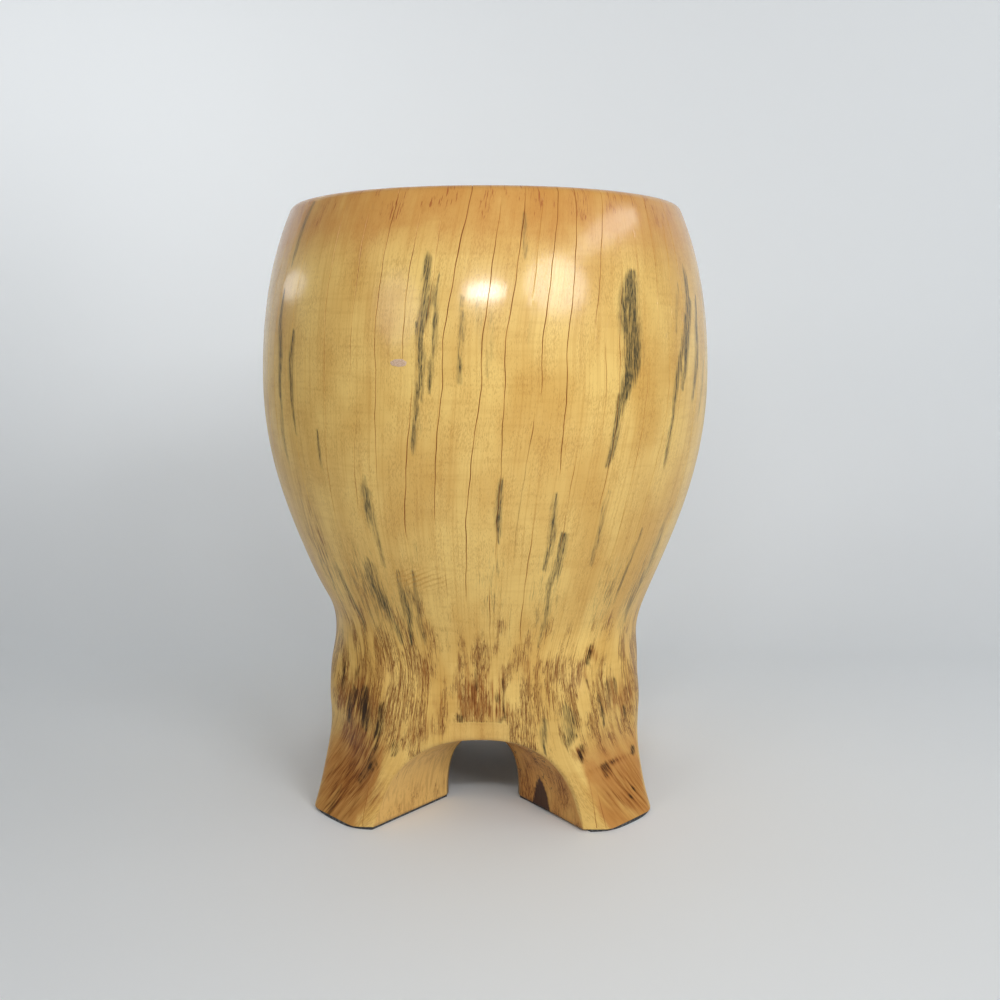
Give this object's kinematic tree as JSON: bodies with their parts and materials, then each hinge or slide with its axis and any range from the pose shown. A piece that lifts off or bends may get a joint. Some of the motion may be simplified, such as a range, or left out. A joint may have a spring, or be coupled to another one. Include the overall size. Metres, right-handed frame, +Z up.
{
  "type": "wooden stool",
  "caption": "Barrel-shaped stool carved from a solid log, with a turned belly and waist on flared arched feet, clear gloss lacquer and thin sole pads.",
  "frame": {"origin": "on the floor, under the middle of the seat", "axes": "+Z up; -Y is the front that faces the viewer; +X is to the viewer's right"},
  "size_m": [0.3464, 0.3464, 0.45],
  "materials": {
    "lacquered_wood": "pale yellow spalted log under clear gloss lacquer, with fine drying cracks",
    "sole_pad": "matt dark grey sheet",
    "hole_filler": "grey-brown wood putty, sanded flush and lacquered over"
  },
  "bodies": {
    "root": {"carved_body": "lacquered_wood", "knot_filler": "hole_filler", "foot_pad_front_left": "sole_pad", "foot_pad_front_right": "sole_pad", "foot_pad_rear_left": "sole_pad", "foot_pad_rear_right": "sole_pad"}
  },
  "joints": []
}
